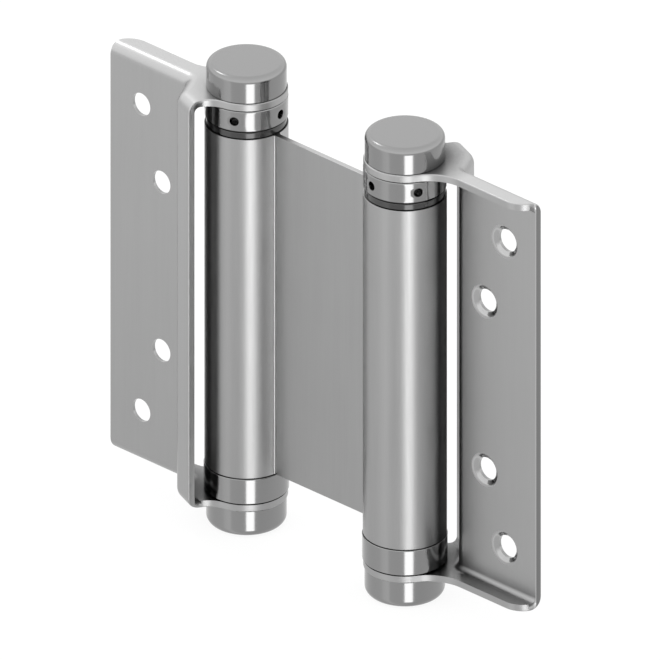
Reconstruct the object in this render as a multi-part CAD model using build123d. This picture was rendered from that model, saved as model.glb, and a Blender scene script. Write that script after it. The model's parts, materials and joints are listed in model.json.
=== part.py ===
from build123d import *
import os
from math import acos, degrees, radians, sqrt, tan

# Double action saloon hinge, opened flat.
# The origin is midway between the two spindles at mid height.
# +X runs from the left spindle to the right one, and +Z runs up along the spindles.
# The right knuckle and leaf are the left ones turned half a turn about Z, but for the leaf's screw holes.
# Unless it says otherwise, a function makes the left piece about its own spindle on the Z axis.

# Driving dimensions, in millimetres and degrees
leaf_height = 125.0            # over the outer faces of a leaf's two ears
spindle_spacing = 60.0         # between the two spindles
leaf_sheet = 2.1               # thickness of a leaf
plate_sheet = 1.55             # thickness of the centre plate
barrel_radius = 11.45          # outside of a rolled barrel
spindle_radius = 3.5

# Centre plate
seam_gap = 0.1                 # where the end of the rolled sheet meets the web
seam_edge = 0.35               # rounding of that end
root_bend = 1.2                # hollow side of the bend where the web turns into a barrel
root_crown = 1.3               # round side of the same bend, inside the barrel

# Leaf in plan, from its own spindle
fold_clearance = 4.15          # from a folded leaf's outer end to the other barrel
plate_depth = 7.55             # to the outer face of the plate
flange_edge = 0.45             # the flanges stop this far short of the spindle's plane
offset_start_room = 4.25       # from the barrel to where the plate turns outward
offset_end_side = 0.2          # the wing starts this far inside the barrel's side
offset_end_room = 4.4          # and this far in front of the barrel
wing_end_side = 3.75           # the wing's free edge is this far beside the spindle
wing_end_room = 7.35           # and this far in front of the barrel
offset_start_bend = 2.0        # outer face, hollow bend
offset_end_inner_bend = 2.3    # inner face, round bend
flange_inner_bend = 1.7        # inner radius of the bend into the flanges and ears
wing_neck = 7.4                # rounding from the wing's free edge to the ear
flange_neck = 12.0             # rounding from the flange to the ear
flange_corner = 6.6            # rounded end of a flange, in plan
leaf_edge = 0.35               # dressed edge along the outline of the ears and flanges

# Screw holes, in two staggered columns
outer_hole_inset = 11.95       # from the leaf's outer end
outer_hole_drop = 15.6         # from the leaf's top and bottom
inner_hole_room = 9.15         # from where the plate turns outward
inner_hole_drop = 36.7
screw_hole_rise = 0.8          # all four are this much higher on the left leaf, and lower on the right one
screw_hole_radius = 3.35
countersink_radius = 5.0
countersink_angle = 110.0

# How far each round piece of the stack stops short of the barrel's surface
ear_step = 0.1
cap_step = 0.45
collar_step = 0.05
wear_ring_step = 0.4
neck_step = 0.5
washer_step = 0.85
bottom_collar_proud = 0.2      # but the bottom collar stands proud of it

# Caps
top_cap_height = 7.65
bottom_cap_height = 8.1
cap_wall = 1.2
top_cap_rim = 1.4              # rounding of the rim
bottom_cap_rim = 1.8
cap_boss_wall = 1.8
cap_bore_depth = 5.5
spindle_chamfer = 0.5

# Tension collar, with a hub that turns in the wear ring and a nose that centres the spring
collar_height = 6.1
collar_edge = 0.25
tension_hole_radius = 1.3
tension_hole_wall = 1.7        # between the foot of a hole and the bush
tension_hole_count = 5
tension_hole_angle = 9.0       # of the first hole, from +X
hub_step = 0.8                 # the hub is this much larger than the nose
nose_length = 8.5
bush_wall = 1.15

# Wear ring, bottom collar and washers
wear_ring_height = 2.35
wear_ring_edge = 0.3
sleeve_length = 8.0            # how far the wear ring and the bottom collar reach into a barrel
bottom_collar_height = 7.8
bottom_neck_height = 0.25      # a shallow neck that shows as a dark line under the barrel
top_washer_height = 0.3
bottom_washer_height = 0.4

# Torsion spring, wound from flat wire
wire_axial = 5.0
coil_gap = 2.824               # between neighbouring turns
coil_bore_play = 0.5           # between the nose and the coil
coil_room = 0.8                # between the coil and the barrel
wire_share = 6 / 13            # of the room that the coil and the nose's wall have between them
spring_end_gap = 0.35          # from each end of the spring to its shoulder

# Clearances, on the radius or on one side
seat_play = 0.02               # pieces fixed to each other
running_play = 0.05            # a spindle in its bush
hub_play = 0.06                # the collar's hub in the wear ring
sleeve_play = 0.05             # a sleeve in the barrel
slot_play = 0.2                # a bent wire end in its slot
washer_play = 0.3              # a washer on the spindle
same_place = 0.02              # edges this near to where they are looked for are the right ones

# Radii that follow from the barrel and the spindle
barrel_bore = barrel_radius - plate_sheet
ear_radius = barrel_radius - ear_step
cap_radius = barrel_radius - cap_step
cap_boss_radius = spindle_radius + cap_boss_wall
collar_radius = barrel_radius - collar_step
wear_ring_radius = barrel_radius - wear_ring_step
bottom_collar_radius = barrel_radius + bottom_collar_proud
bottom_neck_radius = barrel_radius - neck_step
washer_radius = barrel_radius - washer_step
bush_radius = spindle_radius + running_play + bush_wall
spring_room = barrel_bore - coil_room - coil_bore_play - bush_radius
wire_radial = spring_room * wire_share
nose_wall = spring_room - wire_radial
nose_radius = bush_radius + nose_wall
slot_floor = bush_radius + nose_wall / 2
hub_radius = nose_radius + hub_step
coil_radius = nose_radius + coil_bore_play + wire_radial / 2
tension_hole_floor = bush_radius + tension_hole_wall

# Heights that follow from the stack, from mid height
ear_outer = leaf_height / 2
ear_inner = ear_outer - leaf_sheet
collar_top = ear_inner - top_washer_height
collar_bottom = collar_top - collar_height
barrel_top = collar_bottom - wear_ring_height
bottom_collar_low = bottom_washer_height - ear_inner
barrel_bottom = bottom_collar_low + bottom_collar_height
hub_shoulder = barrel_top - sleeve_length
spigot_shoulder = barrel_bottom + sleeve_length
hub_end = hub_shoulder - nose_length
spigot_end = spigot_shoulder + nose_length
spring_top = hub_shoulder - spring_end_gap
spring_bottom = spigot_shoulder + spring_end_gap
spring_rise = spring_top - spring_bottom - wire_axial
spring_pitch = wire_axial + coil_gap
last_turn = 360 * spring_rise / spring_pitch  # direction of the spring's top end, from +X

# Places that follow in plan
half_sheet = plate_sheet / 2
left_x = -spindle_spacing / 2
leaf_reach = spindle_spacing - barrel_radius - fold_clearance
offset_start = Vector(-barrel_radius - offset_start_room, -plate_depth)
offset_end = Vector(offset_end_side - barrel_radius, -barrel_radius - offset_end_room)
wing_end = Vector(-wing_end_side, -barrel_radius - wing_end_room)
screw_holes = (
    (offset_start.X - inner_hole_room, ear_outer - inner_hole_drop),
    (outer_hole_inset - leaf_reach, ear_outer - outer_hole_drop),
)


def rod(radius, low, high):
    """A round bar about Z between two heights."""
    return Pos(0, 0, low) * extrude(Circle(radius), high - low)


def tube(outer, inner, low, high):
    """A plain sleeve about Z between two heights."""
    return Pos(0, 0, low) * extrude(Circle(outer) - Circle(inner), high - low)


def rims(shape, radius):
    """The circles of one radius on a turned piece."""
    circles = shape.edges().filter_by(GeomType.CIRCLE)
    return circles.filter_by(lambda edge: abs(edge.radius - radius) < same_place)


def upright(shape, point):
    """The edges along Z that stand at one point in plan."""
    edges = shape.edges().filter_by(Axis.Z)
    return [e for e in edges if (Vector(e.center().X, e.center().Y) - point).length < same_place]


def arc_about(centre, start, end):
    """The short arc from one point to another about a centre."""
    middle = ((start + end) / 2 - centre).normalized()
    return ThreePointArc(start, centre + middle * (start - centre).length, end)


def centre_plate():
    """The web and both barrels, rolled from one sheet, already in place.

    The sheet leaves the web, goes once round the barrel and ends in a seam against the web.
    """
    web = Rectangle(spindle_spacing - 2 * barrel_bore, plate_sheet)
    shell = Circle(barrel_radius) - Circle(barrel_bore)
    seam = Rectangle(2 * plate_sheet, seam_gap)
    seam_x = left_x + (barrel_radius + barrel_bore) / 2
    seam_y = -half_sheet - seam_gap / 2
    sheet = web + Pos(left_x, 0) * shell + Pos(-left_x, 0) * shell
    sheet -= Pos(seam_x, seam_y) * seam + Pos(-seam_x, -seam_y) * seam
    body = Pos(0, 0, barrel_bottom) * extrude(sheet, barrel_top - barrel_bottom)

    lip_y = half_sheet + seam_gap
    lip = Vector(left_x + sqrt(barrel_radius ** 2 - lip_y ** 2), -lip_y)
    root = Vector(left_x + sqrt(barrel_radius ** 2 - half_sheet ** 2), half_sheet)
    crown = Vector(left_x + sqrt(barrel_bore ** 2 - half_sheet ** 2), -half_sheet)
    for point, radius in ((lip, seam_edge), (root, root_bend), (crown, root_crown)):
        for side in (1, -1):
            body = fillet(upright(body, point * side), radius)
    return body


def plate_corners(inset):
    """The corners of the plate and the wing in plan, from the outer face inward by an inset."""
    corners = [Vector(-leaf_reach, -plate_depth), offset_start, offset_end, wing_end]
    runs = [(after - before).normalized() for before, after in zip(corners, corners[1:])]
    inward = [Vector(-run.Y, run.X) for run in runs]
    moved = [corners[0] + inward[0] * inset]
    for corner, before, after in zip(corners[1:], inward, inward[1:]):
        across = before + after
        moved.append(corner + across * (2 * inset / across.dot(across)))
    moved.append(corners[-1] + inward[-1] * inset)
    return moved, runs[-1]


def round_offset(outline, corners, hollow, crown):
    """Round the two corners of the offset in plan."""
    for corner, radius in ((corners[1], hollow), (corners[2], crown)):
        outline = fillet(outline.vertices().sort_by_distance(corner)[0], radius)
    return outline


def leaf_outline():
    """The leaf in plan: plate, offset, wing, then the ear, its two necks and the flange."""
    corners, _ = plate_corners(0)
    reach = ear_radius + wing_neck
    cosine = (reach ** 2 + wing_end.length ** 2 - wing_neck ** 2) / (2 * reach * wing_end.length)
    wing_centre = wing_end.normalized().rotate(Axis.Z, degrees(acos(cosine))) * reach
    wing_touch = wing_centre.normalized() * ear_radius
    rise = flange_neck - flange_edge
    flange_centre = Vector(-sqrt((ear_radius + flange_neck) ** 2 - rise ** 2), rise)
    flange_touch = flange_centre.normalized() * ear_radius
    flange_start = Vector(flange_centre.X, -flange_edge)
    flange_end = Vector(-leaf_reach, -flange_edge)
    outline = make_face(
        [
            Polyline(*corners),
            arc_about(wing_centre, wing_end, wing_touch),
            ThreePointArc(wing_touch, Vector(ear_radius, 0), flange_touch),
            arc_about(flange_centre, flange_touch, flange_start),
            Polyline(flange_start, flange_end, corners[0]),
        ]
    )
    return round_offset(outline, corners, offset_start_bend, offset_end_inner_bend + leaf_sheet)


def hollow_outline():
    """The space behind the plate and the wing in plan, open towards the spindle."""
    corners, wing_run = plate_corners(leaf_sheet)
    near = corners[0] - Vector(leaf_reach, 0)
    far = corners[-1] + wing_run * leaf_reach
    space = make_face(
        Polyline(
            near, *corners[1:-1], far,
            Vector(far.X, leaf_reach), Vector(near.X, leaf_reach),
            close=True,
        )
    )
    return round_offset(space, corners, offset_start_bend + leaf_sheet, offset_end_inner_bend)


def pressed_block(outline, height, bend, face_y, far_x):
    """An outline raised to a height each way, with the edges along its front bent over.

    The front starts on the plate's face and runs on outward, as far as a given X.
    """
    block = Pos(0, 0, -height) * extrude(outline, 2 * height)
    bent = []
    for edge in block.edges():
        middle = edge @ 0.5
        level = abs((edge @ 0).Z - (edge @ 1).Z) < same_place
        if level and middle.Y < face_y + same_place and middle.X < far_x:
            bent.append(edge)
    return fillet(bent, bend)


def flange_end_cut():
    """What the rounded outer ends of the flanges lose in plan."""
    corner = Rectangle(2 * flange_corner, 2 * flange_corner)
    corner -= Pos(flange_corner, -flange_corner) * Circle(flange_corner)
    return Pos(-leaf_reach, -flange_edge) * extrude(corner, leaf_height, both=True)


def dress_edges(body):
    """Round the sharp outline of the ears and flanges, on their outer faces."""
    faces = [f for f in body.faces() if abs(abs(f.center().Z) - ear_outer) < same_place]
    sharp = []
    for face in faces:
        for edge in face.edges():
            middle = edge @ 0.5
            walls = [f for f in body.faces() if any(edge.is_same(other) for other in f.edges())]
            if any(abs(wall.normal_at(middle).Z) < 0.5 for wall in walls):
                sharp.append(edge)
    return fillet(sharp, leaf_edge)


def screw_hole():
    """A countersunk hole through the plate, about Y, with its wide end at the inner face."""
    low = -plate_depth
    inner_face = low + leaf_sheet
    depth = (countersink_radius - screw_hole_radius) / tan(radians(countersink_angle / 2))
    profile = Polyline(
        (0, low - leaf_sheet),
        (screw_hole_radius, low - leaf_sheet),
        (screw_hole_radius, inner_face - depth),
        (countersink_radius, inner_face),
        (countersink_radius, inner_face + leaf_sheet),
        (0, inner_face + leaf_sheet),
        close=True,
    )
    return revolve(make_face(profile), Axis.Y)


def leaf(hole_rise):
    """A pressed leaf: the bent block less the space behind it, then its corners and holes."""
    body = pressed_block(
        leaf_outline(), ear_outer, flange_inner_bend + leaf_sheet, -plate_depth, wing_end.X
    )
    space = pressed_block(
        hollow_outline(), ear_inner, flange_inner_bend, leaf_sheet - plate_depth, leaf_reach
    )
    body = dress_edges(body - space - flange_end_cut())
    for across, height in screw_holes:
        body -= Pos(across, 0, hole_rise + height) * screw_hole()
        body -= Pos(across, 0, hole_rise - height) * screw_hole()
    return body - rod(spindle_radius + seat_play, -leaf_height, leaf_height)


def cap(height, rim_radius):
    """A hollow cap with a boss for the spindle, closed end up, standing at height nought."""
    body = rod(cap_radius, 0, height)
    body = fillet(rims(body, cap_radius).sort_by(Axis.Z)[-1], rim_radius)
    body -= tube(cap_radius - cap_wall, cap_boss_radius, 0, height - cap_wall)
    return body - rod(spindle_radius + seat_play, 0, cap_bore_depth)


def top_cap():
    """The cap on the top ear, with a tight rim."""
    return Pos(0, 0, ear_outer) * cap(top_cap_height, top_cap_rim)


def bottom_cap():
    """The cap under the bottom ear, closed end down, with a rounder rim."""
    return Pos(0, 0, -ear_outer) * (Rot(180, 0, 0) * cap(bottom_cap_height, bottom_cap_rim))


def spindle():
    """The pin from cap to cap that the leaf turns with."""
    half = ear_outer + cap_bore_depth
    body = rod(spindle_radius, -half, half)
    return chamfer(rims(body, spindle_radius), spindle_chamfer)


def washer(low, height):
    """A thin thrust washer between a collar and an ear."""
    return tube(washer_radius, spindle_radius + washer_play, low, low + height)


def bent_end(turn, side, inner, outer, low, high, play=0.0):
    """A radial bar where the wire ends: the bent end itself or, with some play, its slot."""
    bar = Box(outer - inner, wire_radial + 2 * play, high - low)
    bar = Pos((inner + outer) / 2, side * wire_radial / 2, (low + high) / 2) * bar
    return Rot(0, 0, turn) * bar


def tension_collar():
    """The band with its ring of holes, its hub in the wear ring and its nose in the spring."""
    band = rod(collar_radius, collar_bottom, collar_top)
    band = chamfer(rims(band, collar_radius), collar_edge)
    body = band + rod(hub_radius, hub_shoulder, collar_bottom) + rod(nose_radius, hub_end, hub_shoulder)
    body -= rod(bush_radius + seat_play, hub_end, collar_top)
    mid_height = (collar_top + collar_bottom) / 2
    hole = Plane.YZ.offset(tension_hole_floor) * (Pos(0, mid_height) * Circle(tension_hole_radius))
    hole = extrude(hole, collar_radius)
    for step in range(tension_hole_count):
        body -= Rot(0, 0, tension_hole_angle + 360 / tension_hole_count * step) * hole
    return body - bent_end(last_turn, -1, slot_floor, hub_radius, hub_end, hub_shoulder, slot_play)


def top_bush():
    """The sleeve in the tension collar that the spindle turns in."""
    return tube(bush_radius, spindle_radius + running_play, hub_end, collar_top)


def wear_ring():
    """The dark flanged ring between collar and barrel, with its sleeve in the barrel."""
    flange = rod(wear_ring_radius, barrel_top, collar_bottom)
    flange = chamfer(rims(flange, wear_ring_radius), wear_ring_edge)
    body = flange + rod(barrel_bore - sleeve_play, hub_shoulder + sleeve_play, barrel_top)
    return body - rod(hub_radius + hub_play, hub_shoulder, collar_bottom)


def bottom_collar():
    """The plug fixed in the foot of the barrel: band, neck, spigot, and nose with a slot."""
    neck_low = barrel_bottom - bottom_neck_height
    band = rod(bottom_collar_radius, bottom_collar_low, neck_low)
    body = chamfer(rims(band, bottom_collar_radius), collar_edge)
    body += rod(bottom_neck_radius, neck_low, barrel_bottom)
    body += rod(barrel_bore - sleeve_play, barrel_bottom, spigot_shoulder)
    body += rod(nose_radius, spigot_shoulder, spigot_end)
    body -= rod(bush_radius + seat_play, bottom_collar_low, spigot_end)
    return body - bent_end(0, 1, slot_floor, hub_radius, spigot_shoulder, spigot_end, slot_play)


def bottom_bush():
    """The sleeve in the bottom collar that the spindle turns in."""
    return tube(bush_radius, spindle_radius + running_play, bottom_collar_low, spigot_end)


def spring():
    """A flat wire wound up the barrel, with both ends bent inward into their slots."""
    path = Helix(spring_pitch, spring_rise, coil_radius)
    section = Plane.XZ * (Pos(coil_radius, 0) * Rectangle(wire_radial, wire_axial))
    coil = Pos(0, 0, spring_bottom + wire_axial / 2) * sweep(section, path=path, is_frenet=True)
    reach = slot_floor + slot_play
    foot = bent_end(0, 1, reach, coil_radius, spring_bottom, spring_bottom + wire_axial)
    head = bent_end(last_turn, -1, reach, coil_radius, spring_top - wire_axial, spring_top)
    return coil + foot + head


def place(shape, side):
    """Move a piece from its spindle to the left knuckle, or round to the right one."""
    left = Pos(left_x, 0, 0) * shape
    return left if side == "left" else Rot(0, 0, 180) * left


def write(name, shape):
    """Write one named piece."""
    shape.label = name
    export_step(shape, os.path.join("parts", name + ".step"))


knuckle_pieces = {
    "top_cap": top_cap(),
    "bottom_cap": bottom_cap(),
    "spindle": spindle(),
    "tension_collar": tension_collar(),
    "top_bush": top_bush(),
    "top_washer": washer(collar_top, top_washer_height),
    "wear_ring": wear_ring(),
    "spring": spring(),
    "bottom_collar": bottom_collar(),
    "bottom_bush": bottom_bush(),
    "bottom_washer": washer(-ear_inner, bottom_washer_height),
}

os.makedirs("parts", exist_ok=True)
write("centre_plate", centre_plate())
for side, hole_rise in (("left", screw_hole_rise), ("right", -screw_hole_rise)):
    write(side + "_leaf", place(leaf(hole_rise), side))
    for piece, shape in knuckle_pieces.items():
        write(side + "_" + piece, place(shape, side))
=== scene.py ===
"""Looks of a double action saloon hinge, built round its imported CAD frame.

All sizes are metres in the CAD frame: spindles along Z, the left one at -X and the right one at +X.
The right knuckle is the left one turned half a turn about Z.
"""

import json
import math

import bmesh
import bpy
import numpy as np
from bpy.props import FloatProperty, FloatVectorProperty, PointerProperty
from bpy.types import Operator, Panel, PropertyGroup
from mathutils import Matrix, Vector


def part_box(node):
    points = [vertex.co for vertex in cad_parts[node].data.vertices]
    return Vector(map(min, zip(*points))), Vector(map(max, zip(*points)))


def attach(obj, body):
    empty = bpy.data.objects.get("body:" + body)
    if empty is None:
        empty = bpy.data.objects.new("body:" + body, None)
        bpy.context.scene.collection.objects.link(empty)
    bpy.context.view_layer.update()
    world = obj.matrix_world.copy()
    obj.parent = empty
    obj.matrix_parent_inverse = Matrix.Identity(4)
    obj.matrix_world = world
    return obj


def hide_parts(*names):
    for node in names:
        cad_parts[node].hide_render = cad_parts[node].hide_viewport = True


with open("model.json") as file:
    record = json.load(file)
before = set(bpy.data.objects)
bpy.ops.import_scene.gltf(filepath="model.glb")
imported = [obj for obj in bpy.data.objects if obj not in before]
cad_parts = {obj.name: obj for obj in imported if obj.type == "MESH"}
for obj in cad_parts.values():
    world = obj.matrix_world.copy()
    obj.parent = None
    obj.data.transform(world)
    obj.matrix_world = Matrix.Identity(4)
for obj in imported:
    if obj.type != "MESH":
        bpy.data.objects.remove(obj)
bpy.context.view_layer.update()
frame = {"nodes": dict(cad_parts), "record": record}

bl_info = {
    "name": "Double action saloon hinge",
    "version": (1, 0, 0),
    "blender": (4, 5, 0),
    "location": "View3D > Sidebar > Hinge",
    "description": "Builds the visible surfaces, finishes and studio of a double action saloon hinge",
    "category": "Add Mesh",
}

sides = ("left", "right")
millimetre = 0.001

# Points closer together than this are one point, and faces that turn less than this are one flat.
merge_distance = 2e-6
flat_angle = math.radians(0.2)

# Edges that turn more than this stay sharp in the shading.
sharp_angle = math.radians(33)

# The direction that most of the studio's light comes from.
main_light = (-0.58, -0.56, 0.6)

# Columns of points round a turned piece, holes round a tension collar, and columns of points for each hole.
round_columns = 144
tension_holes = 5
columns_per_hole = 24

record = frame["record"]
body_of_node = {
    node: body for body, nodes in record["behaviour"]["bodies"].items() for node in nodes
}
slot_of_node = {part["node"]: part["material_slot"] for part in record["subparts"]}


def span(node, axis):
    """Lowest and highest coordinate of a CAD node along X, Y or Z (0, 1 or 2)."""
    low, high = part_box(node)
    return low[axis], high[axis]


def radius_of(node):
    """Outside radius of a round CAD node, as half its width along Y."""
    low, high = span(node, 1)
    return (high - low) / 2


def length(name, description, default):
    """A size in metres that the sidebar shows."""
    return FloatProperty(
        name=name, description=description, default=default, min=0.0, precision=5,
        subtype="DISTANCE", unit="LENGTH",
    )


def share(name, description, default):
    """A number from nought to one that the sidebar shows."""
    return FloatProperty(name=name, description=description, default=default, min=0.0, max=1.0)


def tint(name, description, default):
    """A colour that the sidebar shows."""
    return FloatVectorProperty(
        name=name, description=description, default=default, size=3, min=0.0, max=1.0, subtype="COLOR",
    )


class HingeSizes(PropertyGroup):
    """Sizes of the visible surfaces; what the CAD boxes give is read from them."""

    sheet: length("Plate sheet", "Thickness of the centre plate", 1.55 * millimetre)
    sheet_edge: length("Sheet edge", "Rounding of the sheared edges of the centre plate", 0.12 * millimetre)
    seam_gap: length("Seam gap", "Gap between the rolled end and the web", 0.1 * millimetre)
    root_bend: length("Root bend", "Hollow side of the bend from web to barrel", 1.2 * millimetre)
    lip_round: length("Seam lip", "Rounding of the rolled end", 0.35 * millimetre)
    seam_bead: length("Seam bead", "Hollow of the fine bead along the seam", 0.45 * millimetre)
    countersink: length("Countersink", "Radius of a screw hole's countersink", 5.0 * millimetre)
    leaf_edge: length("Leaf edge", "Rounding of the sheet edges of a leaf", 0.36 * millimetre)
    cap_rim: length("Top cap rim", "Rounding of a top cap's rim", 1.8 * millimetre)
    bottom_cap_rim: length("Bottom cap rim", "Rounding of a bottom cap's rim", 2.3 * millimetre)
    cap_mouth: length("Cap mouth", "Broken edge of a cap's mouth", 0.15 * millimetre)
    cap_wall: length("Cap wall", "Thickness of a cap's wall and end", 1.2 * millimetre)
    cap_boss: length("Cap boss", "Radius of the boss inside a cap", 5.3 * millimetre)
    cap_bore: length("Cap bore", "Radius of the bore for the spindle", 3.52 * millimetre)
    cap_bore_depth: length("Cap bore depth", "Depth of that bore", 5.5 * millimetre)
    collar_edge: length("Collar edge", "Dressed edge of a collar", 0.25 * millimetre)
    tension_hole: length("Tension hole", "Radius of a tension hole", 1.3 * millimetre)
    tension_hole_edge: length("Tension hole edge", "Broken edge of a tension hole", 0.1 * millimetre)
    tension_floor: length("Tension hole floor", "Radius where a tension hole ends", 6.4 * millimetre)
    hub: length("Hub", "Radius of a tension collar's hub", 7.6 * millimetre)
    bush_bore: length("Bush bore", "Radius of the bore for a bush", 4.72 * millimetre)
    washer_bore: length("Washer bore", "Radius of a washer's bore", 3.8 * millimetre)
    washer_edge: length("Washer edge", "Rounding of a washer's outer edges", 0.05 * millimetre)
    ring_edge: length("Wear ring edge", "Edge of a wear ring's flange", 0.3 * millimetre)
    ring_groove: length("Wear ring groove", "Size of the groove over the flange", 0.4 * millimetre)
    ring_bore: length("Wear ring bore", "Radius of a wear ring's bore", 7.66 * millimetre)
    sleeve: length("Sleeve", "Radius of a sleeve in the barrel", 9.85 * millimetre)
    sleeve_length: length("Sleeve length", "How far a sleeve reaches into the barrel", 8.0 * millimetre)
    neck: length("Neck", "Radius of the neck over a bottom collar", 10.95 * millimetre)
    neck_height: length("Neck height", "Height of that neck", 0.25 * millimetre)
    hole_turn: FloatProperty(
        name="First tension hole", description="Direction of the first tension hole from +X",
        default=math.radians(9.0), subtype="ANGLE", unit="ROTATION",
    )


class HingeFinish(PropertyGroup):
    """Colours and finishes."""

    leaf_steel: tint("Leaf steel", "Brushed steel of the leaves", (0.355, 0.355, 0.355))
    plate_steel: tint("Plate steel", "Brushed steel of the centre plate", (0.328, 0.328, 0.328))
    turned_steel: tint("Turned steel", "Polished steel of caps and collars", (0.255, 0.255, 0.255))
    spindle_steel: tint("Spindle steel", "Ground steel of the spindles", (0.34, 0.34, 0.34))
    spring_steel: tint("Spring steel", "Dark tempered steel of the springs", (0.15, 0.15, 0.157))
    ring_plastic: tint("Ring plastic", "Black plastic of the wear rings", (0.008, 0.008, 0.008))
    bush_plastic: tint("Bush plastic", "Black plastic of the bushes", (0.02, 0.02, 0.02))
    washer_plastic: tint("Washer plastic", "Dark plastic of the thrust washers", (0.03, 0.03, 0.03))
    brushed_roughness: share("Brushed roughness", "Roughness of brushed steel", 0.34)
    turned_roughness: share("Turned roughness", "Roughness of turned steel", 0.14)
    face_roughness: share("Face roughness", "Roughness of a turned end face", 0.26)
    drilled_roughness: share("Drilled roughness", "Roughness of the screw holes' countersinks", 0.1)


class HingeStudio(PropertyGroup):
    """Camera, lamps and backdrop."""

    azimuth: FloatProperty(
        name="Azimuth", description="Camera direction about Z from -Y", default=math.radians(44.15),
        subtype="ANGLE", unit="ROTATION",
    )
    elevation: FloatProperty(
        name="Elevation", description="Camera height above the horizon", default=math.radians(27.6),
        subtype="ANGLE", unit="ROTATION",
    )
    view_width: length("View width", "Width of what the camera sees", 179.35 * millimetre)
    view_right: FloatProperty(
        name="View right", description="Camera moved to its right", default=1.18 * millimetre,
        subtype="DISTANCE", unit="LENGTH",
    )
    view_up: FloatProperty(
        name="View up", description="Camera moved up in its picture", default=-1.41 * millimetre,
        subtype="DISTANCE", unit="LENGTH",
    )
    camera_distance: length("Camera distance", "From the hinge to the camera", 1.2)
    lamp_power: FloatProperty(
        name="Softbox power", description="Watts of the softbox overhead", default=0.9, min=0.0,
    )
    sky_level: FloatProperty(
        name="Sky level", description="Strength of the tent's roof; its walls are 1", default=1.7, min=0.0,
    )
    panel_level: FloatProperty(
        name="Panel level", description="Strength of the panel by the camera", default=4.1, min=0.0,
    )


def rounded(corners, closed, steps=6):
    """A profile with each corner replaced by an arc tangent to both of its runs.

    corners has rows (r, z, radius). The arc's centre lies on the corner's bisector, radius / cos(turn / 2)
    from the corner, and its points are centre + radius * (outward * cos(t) + forward * sin(t)) for t from
    -turn/2 to turn/2.
    """
    tiny = 1e-12
    corners = np.array(corners, float)
    points, radii = corners[:, :2], corners[:, 2:]
    before = points - np.roll(points, 1, 0)
    after = np.roll(points, -1, 0) - points
    before /= np.linalg.norm(before, axis=1, keepdims=True)
    after /= np.linalg.norm(after, axis=1, keepdims=True)
    turn = np.arccos(np.clip((before * after).sum(1, keepdims=True), -1, 1))
    inward = after - before
    inward /= np.maximum(np.linalg.norm(inward, axis=1, keepdims=True), tiny)
    forward = before + after
    forward /= np.maximum(np.linalg.norm(forward, axis=1, keepdims=True), tiny)
    centre = points + inward * radii / np.cos(turn / 2)
    sweep = np.linspace(-0.5, 0.5, steps + 1)[None, :, None] * turn[:, None, :]
    arcs = centre[:, None] + radii[:, None] * (
        forward[:, None] * np.sin(sweep) - inward[:, None] * np.cos(sweep)
    )
    if not closed:
        arcs[0], arcs[-1] = points[0], points[-1]
    return arcs.reshape(-1, 2)


def turned(profile, centre_x, angles=None):
    """A surface of revolution: point (r, z) at angle a is (centre + r cos a, r sin a, z)."""
    if angles is None:
        angles = np.linspace(0, 2 * math.pi, round_columns, endpoint=False)
    r, z = profile[:, :1], profile[:, 1:]
    return np.stack(
        [centre_x + r * np.cos(angles), r * np.sin(angles), z + 0 * angles], axis=-1
    )


def grid_quads(rows, columns, wrap_rows, wrap_columns, first):
    """The quads of a grid of points, joined across its ends where it wraps."""
    index = np.arange(rows * columns).reshape(rows, columns) + first
    if wrap_rows:
        index = np.concatenate([index, index[:1]], 0)
    if wrap_columns:
        index = np.concatenate([index, index[:, :1]], 1)
    corners = (index[:-1, :-1], index[1:, :-1], index[1:, 1:], index[:-1, 1:])
    return np.stack(corners, axis=-1).reshape(-1, 4)


def mesh_from_grids(name, grids, loops=()):
    """One closed mesh from grids of points.

    Each grid is (points, wraps in rows, wraps in columns), and loops are rings of points that get one face.
    Points that meet are merged, and the normals are turned outward.
    """
    points, faces, first = [], [], 0
    for grid, wrap_rows, wrap_columns in grids:
        rows, columns = grid.shape[:2]
        points.append(grid.reshape(-1, 3))
        faces += grid_quads(rows, columns, wrap_rows, wrap_columns, first).tolist()
        first += rows * columns
    for loop in loops:
        points.append(loop)
        faces.append(list(range(first, first + len(loop))))
        first += len(loop)
    mesh = bpy.data.meshes.new(name)
    mesh.from_pydata(np.concatenate(points).tolist(), [], faces)
    close_up(mesh)
    return mesh


def close_up(mesh, flats=False):
    """Merge the points that meet, join the faces of each flat if asked, and turn the faces outward."""
    work = bmesh.new()
    work.from_mesh(mesh)
    bmesh.ops.remove_doubles(work, verts=work.verts, dist=merge_distance)
    if flats:
        bmesh.ops.dissolve_limit(work, angle_limit=flat_angle, verts=work.verts, edges=work.edges)
    bmesh.ops.recalc_face_normals(work, faces=work.faces)
    work.to_mesh(mesh)
    work.free()


def add_piece(name, mesh, node, finish):
    """Put a mesh into the scene in place of a CAD node, on that node's body and with its slot."""
    mesh.polygons.foreach_set("use_smooth", np.ones(len(mesh.polygons), bool))
    mesh.set_sharp_from_angle(angle=sharp_angle)
    mesh.materials.clear()
    mesh.materials.append(finish)
    made = bpy.data.objects.new(name, mesh)
    bpy.context.scene.collection.objects.link(made)
    smooth = made.modifiers.new("Flat faces stay flat", "WEIGHTED_NORMAL")
    smooth.keep_sharp = True
    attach(made, body_of_node[node])
    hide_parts(node)
    return made


def spindle_x(side):
    """Where a side's spindle stands on X."""
    low, high = span(side + "_spindle", 0)
    return (low + high) / 2


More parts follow.
